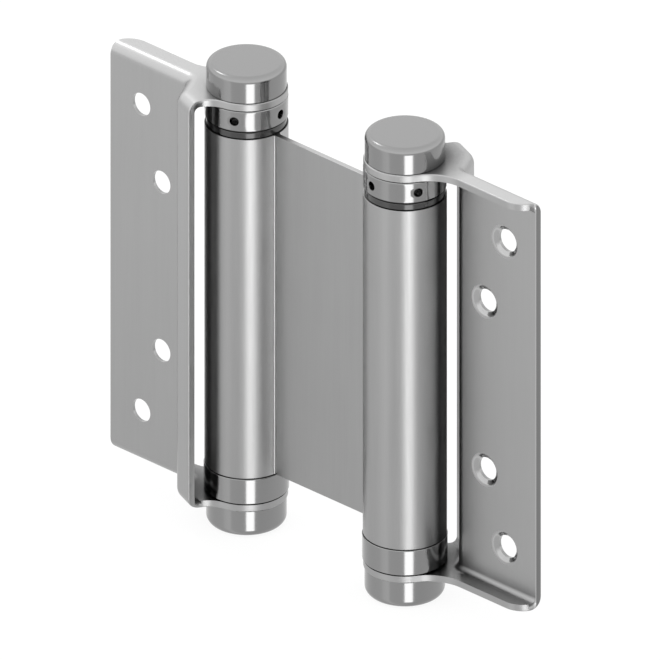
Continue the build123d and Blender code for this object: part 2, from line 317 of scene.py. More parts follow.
def plate_path(radius, sheet, root_bend, seam_gap, spacing):
    """The centreline of the rolled sheet in plan, from the left seam to the middle of the web.

    It is a circle about the left spindle from the seam nearly all the way round, then an arc that
    touches both that circle and the web, then the straight web. The points stand closer at the seam, where
    the lip is rounded.
    """
    lip_turn = 0.05
    lip_points = 12
    barrel_points = 160
    bend_points = 13
    web_points = 14
    middle = radius - sheet / 2
    bend = root_bend + sheet / 2
    bend_x = math.sqrt((middle + bend) ** 2 - bend ** 2)
    root = math.asin(bend / (middle + bend))
    seam = -math.asin((sheet / 2 + seam_gap) / middle)
    round_barrel = np.concatenate([
        seam - np.linspace(0, lip_turn, lip_points, endpoint=False),
        np.linspace(seam - lip_turn, root - 2 * math.pi, barrel_points),
    ])
    barrel = middle * np.stack([np.cos(round_barrel), np.sin(round_barrel)], 1)
    round_bend = np.linspace(math.pi + root, 1.5 * math.pi, bend_points)[1:]
    root_arc = np.stack([bend_x + bend * np.cos(round_bend), bend + bend * np.sin(round_bend)], 1)
    web_x = np.linspace(bend_x, spacing / 2, web_points)[1:]
    web = np.stack([web_x, 0 * web_x], 1)
    path = np.concatenate([barrel, root_arc, web])
    path[:, 0] -= spacing / 2
    return path


def seam_bead(radius, sheet, hollow, spacing, low, high):
    """The fine bead that fills the corner of the left barrel's seam and the web.

    Its section is an arc with its hollow side out, about the point that lies one hollow from the barrel and
    from the web, closed through a point inside the sheet. The section is carried straight up.
    """
    arc_points = 12
    centre_y = -sheet / 2 - hollow
    centre_x = math.sqrt((radius + hollow) ** 2 - centre_y ** 2)
    to_barrel = math.pi - math.atan2(-centre_y, centre_x)
    sweep = np.linspace(math.pi / 2, to_barrel, arc_points)
    arc = np.stack([centre_x + hollow * np.cos(sweep), centre_y + hollow * np.sin(sweep)], 1)
    inside = [[radius - hollow / 2, -sheet / 2 + hollow / 2]]
    section = np.concatenate([arc, inside])
    points = np.empty((2, len(section), 3))
    points[..., 0] = section[:, 0] - spacing / 2
    points[..., 1] = section[:, 1]
    points[..., 2] = [[low], [high]]
    return points


def make_centre_plate(sizes, finish):
    """The web and both barrels as one sheet, with a fine bead along each seam.

    A rounded rectangle, as high as the barrels and as thick as the sheet, is carried along the plan path:
    a point of the surface is path + normal * across, at height z. The last stretch at each seam gets
    thinner as radius - sqrt(radius^2 - (radius - distance)^2), which rounds its lip.
    """
    low, high = span("centre_plate", 2)
    radius = radius_of("centre_plate")
    spacing = spindle_x("right") - spindle_x("left")
    half = plate_path(radius, sizes.sheet, sizes.root_bend, sizes.seam_gap, spacing)
    path = np.concatenate([half, -half[-2::-1]])
    run = np.gradient(path, axis=0)
    run /= np.linalg.norm(run, axis=1, keepdims=True)
    normal = np.stack([-run[:, 1], run[:, 0]], 1)
    steps = np.linalg.norm(np.diff(path, axis=0), axis=1)
    along = np.concatenate([[0], np.cumsum(steps)])
    from_end = np.minimum(along, along[-1] - along)
    missing = np.clip(sizes.lip_round - from_end, 0, None)
    inset = sizes.lip_round - np.sqrt(sizes.lip_round ** 2 - missing ** 2)
    thick = sizes.sheet / 2
    edge = sizes.sheet_edge
    corners = [(-thick, low, edge), (thick, low, edge), (thick, high, edge), (-thick, high, edge)]
    section = rounded(corners, True, steps=3)
    across = np.sign(section[:, 0]) * np.maximum(np.abs(section[:, 0]) - inset[:, None], 0)
    points = np.empty((len(path), len(section), 3))
    points[..., :2] = path[:, None] + normal[:, None] * across[..., None]
    points[..., 2] = section[:, 1]
    left = seam_bead(radius, sizes.sheet, sizes.seam_bead, spacing, low + edge, high - edge)
    right = left * (-1, -1, 1)
    grids = [(part, False, True) for part in (points, left, right)]
    ends = [part[end] for part in (points, left, right) for end in (0, -1)]
    mesh = mesh_from_grids("centre_plate_rolled", grids, ends)
    return add_piece("centre_plate_rolled", mesh, "centre_plate", finish)


def screw_hole_centres(side):
    """Places (x, z) of the four screw holes of a leaf, from the record's bolt patterns."""
    centres = []
    for mount in record["mounts"]:
        if mount["kind"] == "bolt_pattern" and mount["name"].startswith(side):
            x, _, z = mount["pos_m"]
            half = mount["dims"]["spacing_y_mm"] * millimetre / 2
            centres += [(x, z + half), (x, z - half)]
    return np.array(centres)


def mark_faces(mesh, name, chosen):
    """Give the chosen faces the value 1 in an attribute that the leaf's steel reads, and the others 0."""
    marks = mesh.attributes.new(name, "FLOAT", "FACE")
    marks.data.foreach_set("value", chosen.astype(float))


def mark_leaf(mesh, centres, reach, band):
    """Mark the screw holes of a leaf, its sheared outer end, and the rounded edges beside that end.

    A hole's face has its middle within reach of the hole's centre, seen along the hole, and isn't part of
    the flat plate. The faces of the end have their middles within one band of the furthest one on X. The
    sheared ones face straight along X, and the rounded ones face aslant, but not upward or downward.
    """
    straight = 0.98
    aslant = 0.1
    upward = 0.5
    middle = np.empty(len(mesh.polygons) * 3)
    mesh.polygons.foreach_get("center", middle)
    middle = middle.reshape(-1, 3)
    normal = np.empty(len(mesh.polygons) * 3)
    mesh.polygons.foreach_get("normal", normal)
    towards = np.abs(normal.reshape(-1, 3))
    distance = np.linalg.norm(middle[:, None, ::2] - centres[None], axis=2).min(1)
    out = np.abs(middle[:, 0])
    at_end = out > out.max() - band
    mark_faces(mesh, "drilled", (distance < reach) & (towards[:, 1] < straight))
    # The leaf's steel paints shade on the sheared end and a highlight on the rounded edges beside it.
    mark_faces(mesh, "sheared", at_end & (towards[:, 0] > straight))
    slanting = (towards[:, 0] < straight) & (towards[:, 0] > aslant) & (towards[:, 2] < upward)
    mark_faces(mesh, "rounded", at_end & slanting)


def make_leaf(side, sizes, finish):
    """A leaf: the CAD node's own surface with its loose triangles merged, its flats made single faces and
    its bends shaded smooth.
    """
    node = side + "_leaf"
    mesh = frame["nodes"][node].data.copy()
    close_up(mesh, flats=True)
    mark_leaf(mesh, screw_hole_centres(side), sizes.countersink, sizes.leaf_edge)
    return add_piece(side + "_pressed_leaf", mesh, node, finish)


def make_cap(side, end, sizes, finish):
    """A cap: its outside, rounded rim, hollow, boss and bore as one turned profile."""
    node = f"{side}_{end}_cap"
    low, high = span(node, 2)
    rim = sizes.cap_rim if end == "top" else sizes.bottom_cap_rim
    radius, height, wall = radius_of(node), high - low, sizes.cap_wall
    profile = rounded([
        (0, height, 0),
        (radius, height, rim),
        (radius, 0, sizes.cap_mouth),
        (radius - wall, 0, 0),
        (radius - wall, height - wall, 0),
        (sizes.cap_boss, height - wall, 0),
        (sizes.cap_boss, 0, 0),
        (sizes.cap_bore, 0, 0),
        (sizes.cap_bore, sizes.cap_bore_depth, 0),
        (0, sizes.cap_bore_depth, 0),
    ], False, steps=10)
    profile[:, 1] = low + profile[:, 1] if end == "top" else high - profile[:, 1]
    mesh = mesh_from_grids(node + "_turned", [(turned(profile, spindle_x(side)), False, True)])
    return add_piece(node + "_turned", mesh, node, finish)


def hole_patch(direction, radius, low, high, hole, edge, floor, centre_x):
    """The part of the collar's outer wall round one tension hole, with the hole itself.

    Rows of points run from the patch's border to the hole and down it, at the true angle of each border
    point seen from the hole. On the wall a point is radius * (cos, sin) of direction + turn; in the hole it
    is depth along the hole's axis plus a circle of the hole's radius across it.
    """
    half_turn = math.pi / tension_holes
    upright_points = 8
    wall_rows = 5
    mouth_step = 0.3
    middle, half_height = (low + high) / 2, (high - low) / 2
    up = np.linspace(-1, 1, upright_points, endpoint=False)
    along = np.linspace(-1, 1, columns_per_hole, endpoint=False)
    side, end = np.ones(upright_points), np.ones(columns_per_hole)
    border_turn = half_turn * np.concatenate([side, -along, -side, along])
    border_rise = half_height * np.concatenate([up, end, -up, -end])
    around = np.arctan2(border_rise, radius * border_turn)
    mouth = hole + edge
    mouth_turn = np.arcsin(mouth * np.cos(around) / radius)
    mouth_rise = mouth * np.sin(around)
    blend = np.linspace(0, 1, wall_rows)[:, None]
    turn = direction + border_turn + (mouth_turn - border_turn) * blend
    rise = border_rise + (mouth_rise - border_rise) * blend
    wall = np.stack([radius * np.cos(turn), radius * np.sin(turn), middle + rise], axis=-1)
    ring = np.array([hole + mouth_step * edge, hole, hole, 0.0])[:, None]
    surface = np.sqrt(radius ** 2 - (ring * np.cos(around)) ** 2)
    bottom = np.full_like(around, floor)
    depth = np.array([surface[0] - mouth_step * edge, surface[1] - edge, bottom, bottom])
    sideways = ring * np.cos(around)
    bore = np.stack([
        depth * math.cos(direction) - sideways * math.sin(direction),
        depth * math.sin(direction) + sideways * math.cos(direction),
        middle + ring * np.sin(around),
    ], axis=-1)
    patch = np.concatenate([wall, bore])
    patch[..., 0] += centre_x
    return patch


def make_tension_collar(side, sizes, finish):
    """A tension collar: five patches of wall with a hole each, and the rest turned."""
    corner_share = 0.4
    node = side + "_tension_collar"
    low, high = span(side + "_wear_ring", 2)[1], span(node, 2)[1]
    hub_end = span(node, 2)[0]
    radius, edge, centre_x = radius_of(node), sizes.collar_edge, spindle_x(side)
    half_turn = 0 if side == "left" else math.pi
    sector = 2 * math.pi / tension_holes
    directions = sizes.hole_turn + half_turn + np.arange(tension_holes) * sector
    grids = []
    for direction in directions:
        patch = hole_patch(
            direction, radius, low + edge, high - edge, sizes.tension_hole, sizes.tension_hole_edge,
            sizes.tension_floor, centre_x,
        )
        grids.append((patch, False, True))
    within = np.linspace(-sector / 2, sector / 2, columns_per_hole, endpoint=False)
    angles = (directions[:, None] + within).ravel()
    rest = rounded([
        (radius, high - edge, 0),
        (radius - edge, high, edge * corner_share),
        (sizes.bush_bore, high, 0),
        (sizes.bush_bore, hub_end, 0),
        (sizes.hub, hub_end, 0),
        (sizes.hub, low, 0),
        (radius - edge, low, edge * corner_share),
        (radius, low + edge, 0),
    ], False)
    grids.append((turned(rest, centre_x, angles), False, True))
    mesh = mesh_from_grids(node + "_turned", grids)
    return add_piece(node + "_turned", mesh, node, finish)


def make_ring(side, piece, corners, finish, suffix):
    """A closed turned ring from the corners of its profile."""
    node = f"{side}_{piece}"
    surface = turned(rounded(corners, True), spindle_x(side))
    mesh = mesh_from_grids(node + suffix, [(surface, True, True)])
    return add_piece(node + suffix, mesh, node, finish)


def make_wear_ring(side, sizes, finish):
    """A black ring: a shallow groove, the flange under it with soft edges, and the sleeve in the barrel."""
    low, high = span("centre_plate", 2)[1], span(side + "_wear_ring", 2)[1]
    radius, edge, groove = radius_of(side + "_wear_ring"), sizes.ring_edge, sizes.ring_groove
    corners = [
        (sizes.ring_bore, high, 0),
        (radius - groove, high, 0),
        (radius - groove, high - groove, 0),
        (radius, high - groove, edge),
        (radius, low, edge),
        (sizes.sleeve, low, 0),
        (sizes.sleeve, low - sizes.sleeve_length, 0),
        (sizes.ring_bore, low - sizes.sleeve_length, 0),
    ]
    return make_ring(side, "wear_ring", corners, finish, "_moulded")


def make_bottom_collar(side, sizes, finish):
    """A bottom collar: its band, the shallow neck over it, and its sleeve in the barrel."""
    node = side + "_bottom_collar"
    low, top = span(node, 2)[0], span("centre_plate", 2)[0]
    band_top = top - sizes.neck_height
    radius, edge = radius_of(node), sizes.collar_edge
    corners = [
        (sizes.bush_bore, low, 0),
        (radius, low, edge),
        (radius, band_top, edge),
        (sizes.neck, band_top, 0),
        (sizes.neck, top, 0),
        (sizes.sleeve, top, 0),
        (sizes.sleeve, top + sizes.sleeve_length, 0),
        (sizes.bush_bore, top + sizes.sleeve_length, 0),
    ]
    return make_ring(side, "bottom_collar", corners, finish, "_turned")


def make_washer(side, end, sizes, finish):
    """A thin thrust washer."""
    node = f"{side}_{end}_washer"
    low, high = span(node, 2)
    radius, edge = radius_of(node), sizes.washer_edge
    corners = [
        (sizes.washer_bore, low, 0),
        (radius, low, edge),
        (radius, high, edge),
        (sizes.washer_bore, high, 0),
    ]
    return make_ring(side, end + "_washer", corners, finish, "_flat")


def add(tree, kind, options=None, inputs=None):
    """A shader node with its options set, and its inputs filled in or linked."""
    made = tree.nodes.new(kind)
    for name, value in (options or {}).items():
        setattr(made, name, value)
    for name, value in (inputs or {}).items():
        if isinstance(value, bpy.types.NodeSocket):
            tree.links.new(value, made.inputs[name])
        else:
            made.inputs[name].default_value = value
    return made


def maths(tree, operation, *values):
    """The output of a Math node."""
    return add(tree, "ShaderNodeMath", {"operation": operation}, dict(enumerate(values))).outputs[0]


def noise(tree, vector, scale, detail=2.0, roughness=0.5):
    """The output of a Noise Texture, centred on nought."""
    made = add(tree, "ShaderNodeTexNoise", None, {
        "Vector": vector, "Scale": scale, "Detail": detail, "Roughness": roughness,
    })
    return maths(tree, "SUBTRACT", made.outputs[0], 0.5)


def window(tree, value, middle, half_width, softness):
    """One inside a band of values, nought outside, with a soft step at both ends."""
    off = maths(tree, "ABSOLUTE", maths(tree, "SUBTRACT", value, middle))
    return add(tree, "ShaderNodeMapRange", {"interpolation_type": "SMOOTHSTEP"}, {
        0: off, 1: half_width - softness, 2: half_width + softness, 3: 1.0, 4: 0.0,
    }).outputs[0]


def normal_parts(tree):
    """The X, Y and Z outputs of the surface's normal."""
    normal = add(tree, "ShaderNodeNewGeometry").outputs["Normal"]
    return add(tree, "ShaderNodeSeparateXYZ", None, {0: normal}).outputs


def openness(tree, reach, inputs=None, own_piece=False):
    """The share of its surroundings within reach that a point sees free, of every piece or of its own."""
    options = {"samples": 8, "only_local": own_piece}
    near = add(tree, "ShaderNodeAmbientOcclusion", options, {"Distance": reach, **(inputs or {})})
    return near.outputs["AO"]


def smooth_step(tree, value, low, high):
    """Nought below one level and one above another, with a soft step between them."""
    return add(tree, "ShaderNodeMapRange", {"interpolation_type": "SMOOTHSTEP"}, {
        0: value, 1: low, 2: high, 3: 0.0, 4: 1.0,
    }).outputs[0]


def new_group(name, inputs, outputs):
    """A shader node group with float inputs and outputs. Gives its tree, its inputs and its output node."""
    tree = bpy.data.node_groups.new(name, "ShaderNodeTree")
    for label, default in inputs.items():
        socket = tree.interface.new_socket(label, in_out="INPUT", socket_type="NodeSocketFloat")
        socket.default_value = default
    for label in outputs:
        tree.interface.new_socket(label, in_out="OUTPUT", socket_type="NodeSocketFloat")
    return tree, tree.nodes.new("NodeGroupInput").outputs, tree.nodes.new("NodeGroupOutput").inputs


def brush_lines_and_top_light_group():
    """Vertical brush lines: fine and soft streaks stretched along Z, and large faint clouds, with painted
    light that makes the sheet lighter towards the top. Painted top light is how much lighter the sheet gets
    for each metre of height.
    """
    line_stretch = 0.012
    streak_stretch = 0.05
    cloud_scale = 45.0
    streak_height = 0.5
    roughness_share = 0.16
    tree, given, result = new_group(
        "Vertical brushing and painted top light",
        {"Line width": 0.00022, "Streak width": 0.0022, "Line amount": 0.1, "Streak amount": 0.06,
         "Cloud amount": 0.05, "Fade": 0.95},
        ("Shade", "Roughness shift", "Height"),
    )
    place = add(tree, "ShaderNodeTexCoord").outputs["Object"]
    layers = []
    for width, stretch in (("Line width", line_stretch), ("Streak width", streak_stretch)):
        scale = maths(tree, "DIVIDE", 1.0, given[width])
        squash = add(tree, "ShaderNodeCombineXYZ", None, {
            "X": scale, "Y": scale, "Z": maths(tree, "MULTIPLY", scale, stretch),
        }).outputs[0]
        stretched = add(tree, "ShaderNodeVectorMath", {"operation": "MULTIPLY"}, {0: place, 1: squash})
        layers.append(noise(tree, stretched.outputs[0], 1.0, detail=3.0, roughness=0.6))
    line, streak = layers
    cloud = noise(tree, place, cloud_scale)
    shade = maths(tree, "MULTIPLY_ADD", line, given["Line amount"], 1.0)
    shade = maths(tree, "MULTIPLY_ADD", streak, given["Streak amount"], shade)
    shade = maths(tree, "MULTIPLY_ADD", cloud, given["Cloud amount"], shade)
    # Painted light: the colour gets lighter with height, as though more light fell on the top.
    height = add(tree, "ShaderNodeSeparateXYZ", None, {0: place}).outputs[2]
    shade = maths(tree, "MULTIPLY_ADD", height, given["Fade"], shade)
    both = maths(tree, "ADD", line, maths(tree, "MULTIPLY", streak, streak_height))
    tree.links.new(shade, result["Shade"])
    tree.links.new(maths(tree, "MULTIPLY", both, roughness_share), result["Roughness shift"])
    tree.links.new(both, result["Height"])
    return tree


def turning_group():
    """Fine tool marks of a turned piece: they follow the radius from the spindle and the height.

    A flat face is told by how far the surface's normal points up or down.
    """
    round_side = 0.25
    flat_end = 0.98
    tree, given, result = new_group(
        "Turning marks",
        {"Spindle offset": 0.03, "Mark width": 0.0002, "Amount": 0.08},
        ("Shade", "Height", "Flat face"),
    )
    place = add(tree, "ShaderNodeTexCoord").outputs["Object"]
    x, y, z = add(tree, "ShaderNodeSeparateXYZ", None, {0: place}).outputs
    across = maths(tree, "SUBTRACT", maths(tree, "ABSOLUTE", x), given["Spindle offset"])
    squared = maths(tree, "MULTIPLY_ADD", across, across, maths(tree, "MULTIPLY", y, y))
    radius = maths(tree, "SQRT", squared)
    scale = maths(tree, "DIVIDE", 1.0, given["Mark width"])
    where = add(tree, "ShaderNodeCombineXYZ", None, {
        "X": maths(tree, "MULTIPLY", radius, scale), "Y": maths(tree, "MULTIPLY", z, scale),
    }).outputs[0]
    mark = noise(tree, where, 1.0, detail=3.0, roughness=0.6)
    upright = maths(tree, "ABSOLUTE", normal_parts(tree)[2])
    flat = smooth_step(tree, upright, round_side, flat_end)
    tree.links.new(maths(tree, "MULTIPLY_ADD", mark, given["Amount"], 1.0), result["Shade"])
    tree.links.new(mark, result["Height"])
    tree.links.new(flat, result["Flat face"])
    return tree


def top_shade_group():
    """The shade on tops, beside what stands on them: the share of its surroundings that a point sees.

    The view leans towards the main light, so that what stands up shades its far side. The gain makes up for
    what the leaning view loses to the top itself, and the square deepens the shade in corners.
    """
    tree, given, result = new_group("Shade on tops", {"Reach": 0.01, "Lean": 1.8, "Gain": 1.14}, ("Shade",))
    normal = add(tree, "ShaderNodeNewGeometry").outputs["Normal"]
    rise = maths(tree, "MAXIMUM", normal_parts(tree)[2], 0.0)
    lean = add(tree, "ShaderNodeVectorMath", {"operation": "SCALE"}, {
        0: main_light, "Scale": maths(tree, "MULTIPLY", rise, given["Lean"]),
    }).outputs[0]
    view = add(tree, "ShaderNodeVectorMath", {"operation": "ADD"}, {0: normal, 1: lean}).outputs[0]
    view = add(tree, "ShaderNodeVectorMath", {"operation": "NORMALIZE"}, {0: view}).outputs[0]
    near = openness(tree, given["Reach"], {"Normal": view})
    seen = maths(tree, "MINIMUM", maths(tree, "MULTIPLY", near, given["Gain"]), 1.0)
    hidden = maths(tree, "SUBTRACT", maths(tree, "MULTIPLY", seen, seen), 1.0)
    tree.links.new(maths(tree, "MULTIPLY_ADD", hidden, rise, 1.0), result["Shade"])
    return tree


def new_material(name, metallic):
    """An empty material with a Principled shader. Gives the material, its tree and the shader."""
    made = bpy.data.materials.new(name)
    made.use_nodes = True
    tree = made.node_tree
    tree.nodes.clear()
    shader = add(tree, "ShaderNodeBsdfPrincipled", None, {"Metallic": metallic})
    add(tree, "ShaderNodeOutputMaterial", None, {"Surface": shader.outputs[0]})
    return made, tree, shader


def shaded(tree, colour, shade):
    """A colour made lighter or darker by a value that changes over the surface."""
    scaled = add(tree, "ShaderNodeVectorMath", {"operation": "SCALE"}, {0: tuple(colour), "Scale": shade})
    return scaled.outputs[0]


def group_node(tree, group, values):
    """A node group placed in a material with its own values."""
    made = add(tree, "ShaderNodeGroup", {"node_tree": group}, values)
    return made.outputs


def bump(tree, height, distance):
    """The normal that a height gives."""
    return add(tree, "ShaderNodeBump", None, {
        "Height": height, "Distance": distance, "Strength": 1.0,
    }).outputs[0]


def plate_light(tree):
    """How much lighter the barrels are beside the web, where the two light each other, and how much darker
    beside the wing of a leaf, on the side away from the main light.
    """
    reach = 0.015
    lighter = 1.3
    darker = 1.4
    left_gain = -3.0
    left_most = 2.0
    least_light = 0.1
    own = openness(tree, reach, own_piece=True)
    every = openness(tree, reach)
    normal_x = normal_parts(tree)[0]
    hidden = maths(tree, "SUBTRACT", 1.0, own)
    to_right = maths(tree, "MAXIMUM", normal_x, 0.0)
    to_left = maths(tree, "MAXIMUM", maths(tree, "MULTIPLY", normal_x, left_gain), 0.0)
    to_left = maths(tree, "MINIMUM", to_left, left_most)
    sideways = maths(tree, "MULTIPLY", maths(tree, "ADD", to_right, to_left), lighter)
    light = maths(tree, "MULTIPLY_ADD", hidden, sideways, 1.0)
    beside = maths(tree, "SUBTRACT", every, own)
    away = maths(tree, "MULTIPLY", to_right, darker)
    shadow = maths(tree, "MAXIMUM", maths(tree, "MULTIPLY_ADD", beside, away, 1.0), least_light)
    return maths(tree, "MULTIPLY", light, shadow)


def marked(tree, name):
    """The value that mark_leaf gave the faces."""
    return add(tree, "ShaderNodeAttribute", {"attribute_name": name}).outputs["Fac"]


def leaf_edges(tree):
    """How much darker a leaf is on its sheared end, partly as duller sheared steel and partly as painted
    shade, and how much lighter on the rounded edges beside it, as a painted highlight.
    """
    sheared_shade = -0.42
    painted_edge_highlight = 0.5
    # Painted shade on the sheared end, which also stands for its duller steel, and a painted highlight on
    # the rounded edges.
    shade = maths(tree, "MULTIPLY_ADD", marked(tree, "sheared"), sheared_shade, 1.0)
    return maths(tree, "MULTIPLY_ADD", marked(tree, "rounded"), painted_edge_highlight, shade)


def leaf_roughness(tree, look):
    """The roughness of a leaf, smoother in its screw holes."""
    smoother = look.drilled_roughness - look.brushed_roughness
    return maths(tree, "MULTIPLY_ADD", marked(tree, "drilled"), smoother, look.brushed_roughness)


def plate_roughness(tree, look):
    """The roughness of the centre plate, the same all over."""
    return look.brushed_roughness


def brushed_steel(name, colour, look, brushing, tops, values, own_shade, own_roughness):
    """Stainless sheet with vertical brush lines, and the shade and roughness that only this piece has."""
    line_depth = 4e-6
    made, tree, shader = new_material(name, 1.0)
    lines = group_node(tree, brushing, values)
    shade = maths(tree, "MULTIPLY", lines["Shade"], group_node(tree, tops, {})["Shade"])
    shade = maths(tree, "MULTIPLY", shade, own_shade(tree))
    tree.links.new(shaded(tree, colour, shade), shader.inputs["Base Color"])
    rough = maths(tree, "ADD", lines["Roughness shift"], own_roughness(tree, look))
    tree.links.new(rough, shader.inputs["Roughness"])
    tree.links.new(bump(tree, lines["Height"], line_depth), shader.inputs["Normal"])
    return made


def turned_steel(name, colour, side_roughness, face_roughness, turning, values):
    """Polished turned steel, duller on its flat ends, and a little darker there by painted shade."""
    painted_face_shade = -0.2
    mark_roughness = 0.06
    mark_depth = 1.5e-6
    made, tree, shader = new_material(name, 1.0)
    marks = group_node(tree, turning, values)
    # Painted shade: the flat ends are made darker in colour because of how the light falls on them.
    darker = maths(tree, "MULTIPLY_ADD", marks["Flat face"], painted_face_shade, 1.0)
    shade = maths(tree, "MULTIPLY", marks["Shade"], darker)
    tree.links.new(shaded(tree, colour, shade), shader.inputs["Base Color"])
    added = face_roughness - side_roughness
    duller = maths(tree, "MULTIPLY_ADD", marks["Flat face"], added, side_roughness)
    rough = maths(tree, "MULTIPLY_ADD", marks["Height"], mark_roughness, duller)
    tree.links.new(rough, shader.inputs["Roughness"])
    tree.links.new(bump(tree, marks["Height"], mark_depth), shader.inputs["Normal"])
    return made


def moulded_plastic(name, colour, roughness, gloss=0.5):
    """Plain moulded plastic with a fine grain and faint clouds."""
    grain_scale = 2500.0
    grain_depth = 6e-6
    cloud_scale = 160.0
    cloud_shade = 0.3
    cloud_roughness = 0.15
    made, tree, shader = new_material(name, 0.0)
    shader.inputs["Specular IOR Level"].default_value = gloss
    place = add(tree, "ShaderNodeTexCoord").outputs["Object"]
    grain = noise(tree, place, grain_scale, detail=3.0)
    cloud = noise(tree, place, cloud_scale)
    shade = maths(tree, "MULTIPLY_ADD", cloud, cloud_shade, 1.0)
    tree.links.new(shaded(tree, colour, shade), shader.inputs["Base Color"])
    rough = maths(tree, "MULTIPLY_ADD", cloud, cloud_roughness, roughness)
    tree.links.new(rough, shader.inputs["Roughness"])
    tree.links.new(bump(tree, grain, grain_depth), shader.inputs["Normal"])
    return made


def finishes():
    """Every material of the hinge by its slot, made once."""
    if "Leaf steel" in bpy.data.materials:
        return {slot: bpy.data.materials[name] for slot, name in finish_names.items()}
    look = bpy.context.scene.hinge_finish
    brushing, turning, tops = brush_lines_and_top_light_group(), turning_group(), top_shade_group()
    streaky = {"Streak amount": 0.1}
    leaf, plate = (leaf_edges, leaf_roughness), (plate_light, plate_roughness)
    brushed_steel("Leaf steel", look.leaf_steel, look, brushing, tops, {}, *leaf)
    brushed_steel("Plate steel", look.plate_steel, look, brushing, tops, streaky, *plate)
    polished = (look.turned_roughness, look.face_roughness)
    ground = (0.2, 0.3)
    drawn = (0.35, 0.35)
    fine = {"Amount": 0.05}
    coarse = {"Amount": 0.3, "Mark width": 0.0006}
    turned_steel("Turned steel", look.turned_steel, *polished, turning, {})
    turned_steel("Spindle steel", look.spindle_steel, *ground, turning, fine)
    turned_steel("Spring steel", look.spring_steel, *drawn, turning, coarse)
    moulded_plastic("Ring plastic", look.ring_plastic, roughness=0.14, gloss=0.8)
    moulded_plastic("Bush plastic", look.bush_plastic, roughness=0.45)
    moulded_plastic("Washer plastic", look.washer_plastic, roughness=0.4)
    return finishes()


finish_names = {
    "leaf_steel": "Leaf steel",
    "centre_plate_steel": "Plate steel",
    "turned_steel": "Turned steel",
    "spindle_steel": "Spindle steel",
    "spring_steel": "Spring steel",
    "wear_ring_plastic": "Ring plastic",
    "bush_plastic": "Bush plastic",
    "washer_plastic": "Washer plastic",
}


def make_world(scene):
    """A white backdrop, and a soft studio tent as bright as that for the light and the reflections.

    The tent's level follows the direction about Z, counted from the studio's azimuth: white walls with a
    lighter strip at the left, and a lighter roof above the horizon. A bright panel stands low beside the
    camera. Directions are fractions of a full turn, and heights are the Z of a unit vector.
    """
    degree = 1 / 360
    straight_behind = 0.5
    panel_turn = 11.0 * degree
    panel_half_turn = 11.8 * degree
    panel_side_softness = 1.5 * degree
    panel_height = -0.463
    panel_half_height = 0.14
    panel_end_softness = 0.04
    roof_starts = -0.05
    roof_full = 0.3
    world = bpy.data.worlds.new("Studio")
    world.use_nodes = True
    tree = world.node_tree
    tree.nodes.clear()
    direction = add(tree, "ShaderNodeTexCoord").outputs["Generated"]
    x, y, z = add(tree, "ShaderNodeSeparateXYZ", None, {0: direction}).outputs
    facing = scene.hinge_studio.azimuth - math.pi / 2
    around = maths(tree, "ARCTAN2", y, x)
    turn = maths(tree, "DIVIDE", maths(tree, "SUBTRACT", around, facing), 2 * math.pi)
    turn = maths(tree, "FRACT", maths(tree, "ADD", turn, 1 + straight_behind))
    ramp = add(tree, "ShaderNodeValToRGB", None, {0: turn})
    ramp.color_ramp.interpolation = "EASE"
    lightest = 1.3
    stops = (
        (-180, 1.0), (-100, 1.0), (-88, 1.03), (-74, 1.06), (-61, 1.24), (-48, 1.3), (-42, 1.03),
        (-20, 1.0), (-4, 1.03), (27, 0.96), (40, 0.91), (110, 1.0), (180, 1.0),
    )
    elements = ramp.color_ramp.elements
    while len(elements) < len(stops):
        elements.new(straight_behind)
    for element, (degrees, level) in zip(elements, stops):
        element.position = degrees * degree + straight_behind
        element.color = (level / lightest,) * 3 + (1,)
    wall = maths(tree, "MULTIPLY", ramp.outputs[0], lightest)
    rise = smooth_step(tree, z, roof_starts, roof_full)
    roof = maths(tree, "SUBTRACT", scene.hinge_studio.sky_level, wall)
    level = maths(tree, "MULTIPLY_ADD", roof, rise, wall)
    across = window(tree, turn, straight_behind + panel_turn, panel_half_turn, panel_side_softness)
    upright = window(tree, z, panel_height, panel_half_height, panel_end_softness)
    panel = maths(tree, "MULTIPLY", across, upright)
    level = maths(tree, "MULTIPLY_ADD", panel, scene.hinge_studio.panel_level - 1, level)
    tent = add(tree, "ShaderNodeBackground", None, {"Color": (1, 1, 1, 1), "Strength": level}).outputs[0]
    white = add(tree, "ShaderNodeBackground", None, {"Color": (1, 1, 1, 1), "Strength": 1.0}).outputs[0]
    path = add(tree, "ShaderNodeLightPath").outputs
    seen = maths(tree, "MAXIMUM", path["Is Camera Ray"], path["Is Transmission Ray"])
    shown = add(tree, "ShaderNodeMixShader", None, {0: seen, 1: tent, 2: white}).outputs[0]
    add(tree, "ShaderNodeOutputWorld", None, {"Surface": shown})
    scene.world = world


def make_floor():
    """A pale floor that the camera sees white, with a faint shadow of the hinge."""
    shadow_share = 0.9
    floor_shade = 0.9
    half = 3.0
    low = min(span(node, 2)[0] for node in frame["nodes"])
    corners = [(-half, -half, low), (half, -half, low), (half, half, low), (-half, half, low)]
    mesh = bpy.data.meshes.new("studio_floor")
    mesh.from_pydata(corners, [], [(0, 1, 2, 3)])
    made = bpy.data.objects.new("studio_floor", mesh)
    bpy.context.scene.collection.objects.link(made)
    pale = bpy.data.materials.new("Pale floor")
    pale.use_nodes = True
    tree = pale.node_tree
    tree.nodes.clear()
    path = add(tree, "ShaderNodeLightPath").outputs
    matt = add(tree, "ShaderNodeBsdfDiffuse", None, {"Color": (floor_shade,) * 3 + (1,)}).outputs[0]
    white = add(tree, "ShaderNodeEmission", None, {"Color": (1, 1, 1, 1), "Strength": 1.0}).outputs[0]
    clear = add(tree, "ShaderNodeBsdfTransparent").outputs[0]
    plain = maths(tree, "MULTIPLY", path["Is Camera Ray"], shadow_share)
    lit = add(tree, "ShaderNodeMixShader", None, {0: plain, 1: matt, 2: white}).outputs[0]
    shown = add(tree, "ShaderNodeMixShader", None, {0: path["Is Glossy Ray"], 1: lit, 2: clear}).outputs[0]
    add(tree, "ShaderNodeOutputMaterial", None, {"Surface": shown})
    mesh.materials.append(pale)


